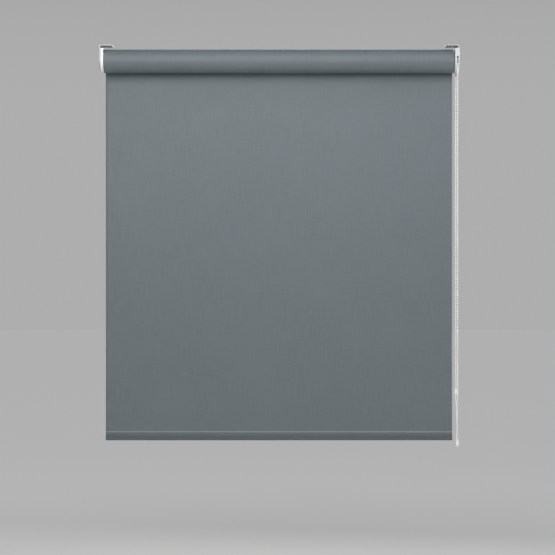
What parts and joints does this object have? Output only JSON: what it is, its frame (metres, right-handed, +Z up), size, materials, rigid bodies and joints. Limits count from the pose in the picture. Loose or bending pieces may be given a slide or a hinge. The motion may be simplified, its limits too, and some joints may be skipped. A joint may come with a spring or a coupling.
{
  "type": "roller blind",
  "caption": "Chain-operated roller blind hung nearly full length, with slate fabric, white end covers, a white bead chain and a chain safety device.",
  "frame": {"origin": "centre of the four fixing slots, on the plane that both brackets are screwed up against", "axes": "+Z up, +X towards the chain end, -Y towards the room"},
  "size_m": [1.075, 0.0749, 1.1994],
  "materials": {
    "zinc_steel": "satin",
    "white_housing": "satin",
    "white_chain": "satin",
    "safety_plastic": "satin",
    "slate_fabric": "matte",
    "extrusion": "satin",
    "grey_plastic": "matte",
    "clutch_plastic": "satin",
    "spring_steel": "satin"
  },
  "bodies": {
    "frame": {"left_bracket": "zinc_steel", "left_bracket_cover": "white_housing", "right_bracket": "zinc_steel", "drive_housing": "white_housing", "chain_guard": "white_housing", "clutch_core": "clutch_plastic", "core_clip": "spring_steel", "tensioner_base": "safety_plastic", "tensioner_cover": "safety_plastic", "fabric_drop": "slate_fabric", "bead_chain": "white_chain"},
    "roller": {"tube": "extrusion", "fabric_spline": "clutch_plastic", "fabric_roll": "slate_fabric", "idle_plug": "grey_plastic", "idle_plug_cap": "grey_plastic", "pin_spring": "spring_steel", "drive_crown": "grey_plastic", "sprocket": "white_chain", "brake_springs": "spring_steel"},
    "pin": {"idle_pin": "spring_steel"},
    "hem": {"hem_pocket": "slate_fabric", "bottom_bar": "extrusion", "left_bar_cap": "clutch_plastic", "right_bar_cap": "clutch_plastic"},
    "connector": {"chain_connector": "white_chain"}
  },
  "joints": [
    {"name": "tube_spin", "type": "hinge", "parent": "frame", "child": "roller", "pos_m": [0, 0, -0.046], "axis": [1, 0, 0], "range_deg": [0, 1671.43], "deforming": ["bead_chain"]},
    {"name": "bar_lift", "type": "slide", "parent": "frame", "child": "hem", "axis": [0, 0, 1], "range_m": [0, 1.0472], "deforming": ["fabric_drop"]},
    {"name": "connector_travel", "type": "slide", "parent": "frame", "child": "connector", "axis": [0, 0, 1], "range_m": [0, 0.78]},
    {"name": "idle_pin_slide", "type": "slide", "parent": "roller", "child": "pin", "axis": [1, 0, 0], "range_m": [0, 0.008], "stiffness_N_per_m": 600, "springref_m": -0.005, "deforming": ["pin_spring"]}
  ],
  "couplings": [
    {"joint": "bar_lift", "follows": "tube_spin", "m_per_rad": 0.0359},
    {"joint": "connector_travel", "follows": "tube_spin", "m_per_rad": 0.026738}
  ]
}
